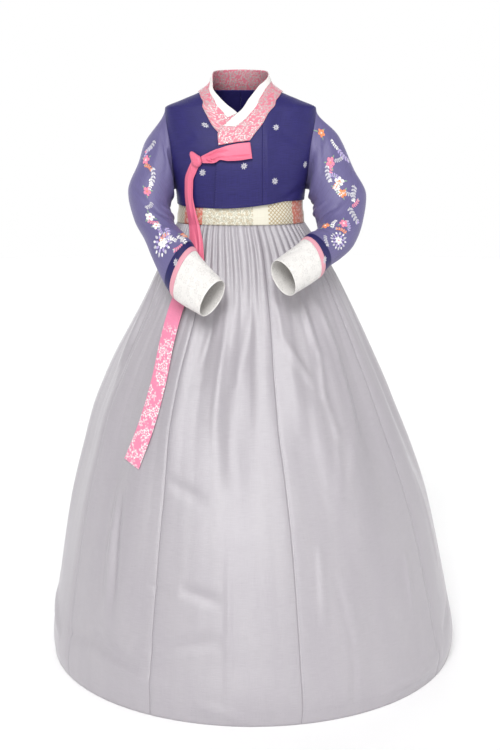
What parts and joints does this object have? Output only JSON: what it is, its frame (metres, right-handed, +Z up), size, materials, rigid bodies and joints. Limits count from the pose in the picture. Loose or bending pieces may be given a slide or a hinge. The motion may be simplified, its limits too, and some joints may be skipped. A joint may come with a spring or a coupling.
{
  "type": "korean hanbok",
  "caption": "Worn-form jacket with collar, ribbon tie and banded sleeves over a full floor-length skirt pleated into a brocade band; hollow and open at neck, cuffs and hem.",
  "frame": {"origin": "midway between the two shoulder points, where the wearer carries the jacket", "axes": "+Z up, -Y the wearer's front, +X the wearer's left"},
  "size_m": [1.0668, 1.0673, 1.4956],
  "materials": {
    "bodice": "indigo silk with a fine rib and small silver flowers",
    "collar": "pink satin with silver-white foil flowers",
    "white": "white damask satin",
    "sleeve": "dusty violet silk with flower embroidery",
    "navy": "navy silk",
    "pink": "pink silk ribbon",
    "brocade": "cream and gold brocade",
    "skirt": "silver-lilac organza over satin, soft sheen"
  },
  "bodies": {
    "root": {"jeogori_front_left": "bodice", "jeogori_front_right": "bodice", "jeogori_seop": "bodice", "jeogori_back_left": "bodice", "jeogori_back_right": "bodice", "git_collar": "collar", "dongjeong": "white", "sleeve_left": "sleeve", "sleeve_right": "sleeve", "sleeve_band_left": "navy", "sleeve_band_right": "navy", "sleeve_piping_left": "pink", "sleeve_piping_right": "pink", "cuff_left": "white", "cuff_right": "white", "goreum_knot": "pink", "goreum_loop": "pink", "goreum_tail_long": "pink", "goreum_tail_short": "pink", "chima_waistband": "brocade", "chima_panel_1": "skirt", "chima_panel_2": "skirt", "chima_panel_3": "skirt", "chima_panel_4": "skirt", "chima_panel_5": "skirt", "chima_panel_6": "skirt", "chima_panel_7": "skirt", "chima_panel_8": "skirt"}
  },
  "joints": []
}
